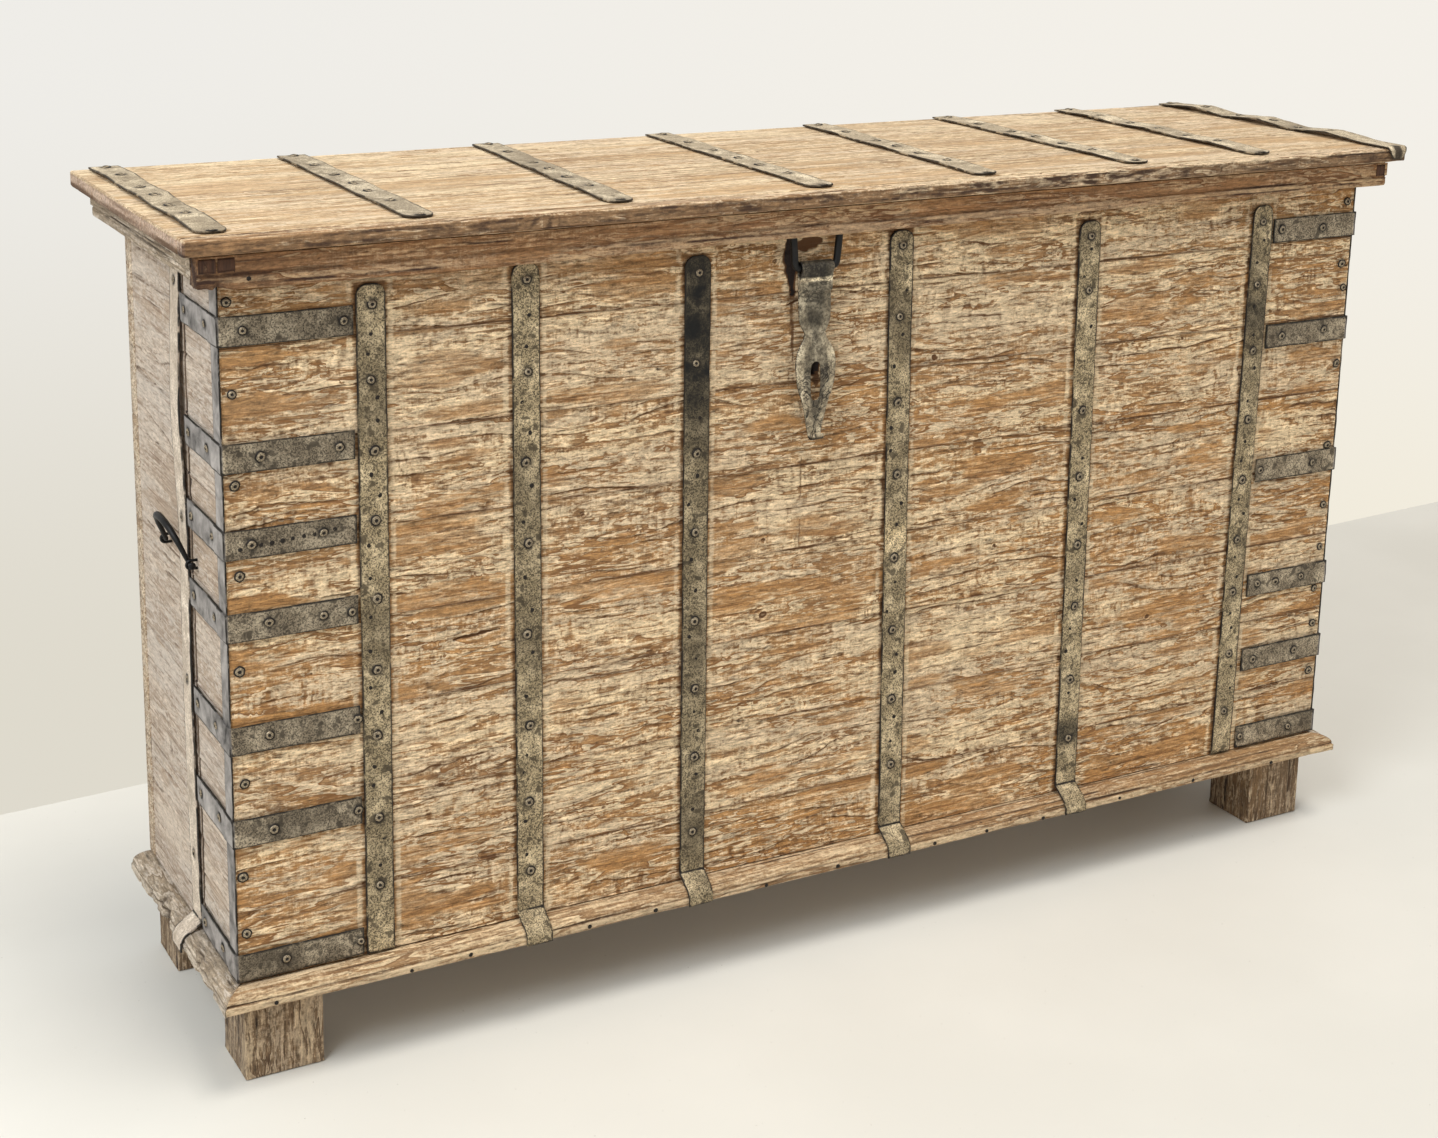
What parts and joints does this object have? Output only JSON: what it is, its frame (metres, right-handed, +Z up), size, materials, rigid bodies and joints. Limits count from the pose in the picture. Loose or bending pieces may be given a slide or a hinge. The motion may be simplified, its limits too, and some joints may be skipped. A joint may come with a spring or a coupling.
{
  "type": "wooden trunk",
  "caption": "Long plank trunk on block feet with a hinged lid, moulded sill and cornice, nailed iron straps, a hasp and a bail at each end.",
  "frame": {"origin": "on the floor under the middle of the lid's outline", "axes": "+X along the trunk to its right end, +Y from front to back, +Z up"},
  "size_m": [1.588, 0.453, 0.9373],
  "materials": {
    "front_wood": "weathered, remains of a pale wash",
    "side_wood": "weathered, remains of a pale wash",
    "lid_wood": "bleached, worn smooth",
    "foot_wood": "weathered grey",
    "strap_iron": "forged, dull, washed at the edges",
    "hasp_iron": "forged, dull, some rust",
    "black_iron": "forged, near black",
    "pin_iron": "forged, dull"
  },
  "bodies": {
    "case": {"front_board_1": "front_wood", "front_board_2": "front_wood", "front_board_3": "front_wood", "front_board_4": "front_wood", "front_board_5": "front_wood", "front_board_6": "front_wood", "front_board_7": "front_wood", "front_board_8": "front_wood", "back_panel": "side_wood", "left_side_panel": "side_wood", "right_side_panel": "side_wood", "floor_panel": "side_wood", "base_moulding_front": "front_wood", "base_moulding_left": "side_wood", "base_moulding_right": "side_wood", "base_rail_back": "side_wood", "foot_front_left": "foot_wood", "foot_front_right": "foot_wood", "foot_back_left": "foot_wood", "foot_back_right": "foot_wood", "front_strap_1": "strap_iron", "front_strap_2": "strap_iron", "front_strap_3": "strap_iron", "front_strap_4": "strap_iron", "front_strap_5": "strap_iron", "front_strap_6": "strap_iron", "corner_binding_left": "strap_iron", "corner_binding_right": "strap_iron", "side_strap_left": "strap_iron", "side_strap_right": "strap_iron", "hinge_wall_leaf_left": "strap_iron", "hinge_wall_leaf_right": "strap_iron", "hinge_pin_left": "pin_iron", "hinge_pin_right": "pin_iron", "left_handle_eye_front": "black_iron", "left_handle_eye_back": "black_iron", "right_handle_eye_front": "black_iron", "right_handle_eye_back": "black_iron"},
    "lid": {"lid_front_edge": "lid_wood", "lid_board_front": "lid_wood", "lid_board_middle": "lid_wood", "lid_board_back": "lid_wood", "cornice_front": "front_wood", "cornice_left": "side_wood", "cornice_right": "side_wood", "lid_strap_1": "strap_iron", "lid_strap_2": "strap_iron", "lid_strap_3": "strap_iron", "lid_strap_4": "strap_iron", "lid_strap_5": "strap_iron", "lid_strap_6": "strap_iron", "lid_strap_7": "strap_iron", "lid_strap_8": "strap_iron", "hinge_lid_leaf_left": "strap_iron", "hinge_lid_leaf_right": "strap_iron", "hasp_staple": "black_iron"},
    "hasp": {"hasp": "hasp_iron"},
    "left_handle": {"left_handle": "black_iron"},
    "right_handle": {"right_handle": "black_iron"}
  },
  "joints": [
    {"name": "lid_hinge", "type": "hinge", "parent": "case", "child": "lid", "pos_m": [0, 0.1747, 0.9043], "axis": [-1, 0, 0], "range_deg": [0, 100]},
    {"name": "hasp_hinge", "type": "hinge", "parent": "lid", "child": "hasp", "pos_m": [-0.0715, -0.198, 0.8397], "axis": [-1, 0, 0], "range_deg": [0, 140]},
    {"name": "left_handle_pivot", "type": "hinge", "parent": "case", "child": "left_handle", "pos_m": [-0.756, -0.0265, 0.5532], "axis": [0, -1, 0], "range_deg": [-17, 153]},
    {"name": "right_handle_pivot", "type": "hinge", "parent": "case", "child": "right_handle", "pos_m": [0.756, -0.0265, 0.5532], "axis": [0, 1, 0], "range_deg": [-17, 153]}
  ]
}
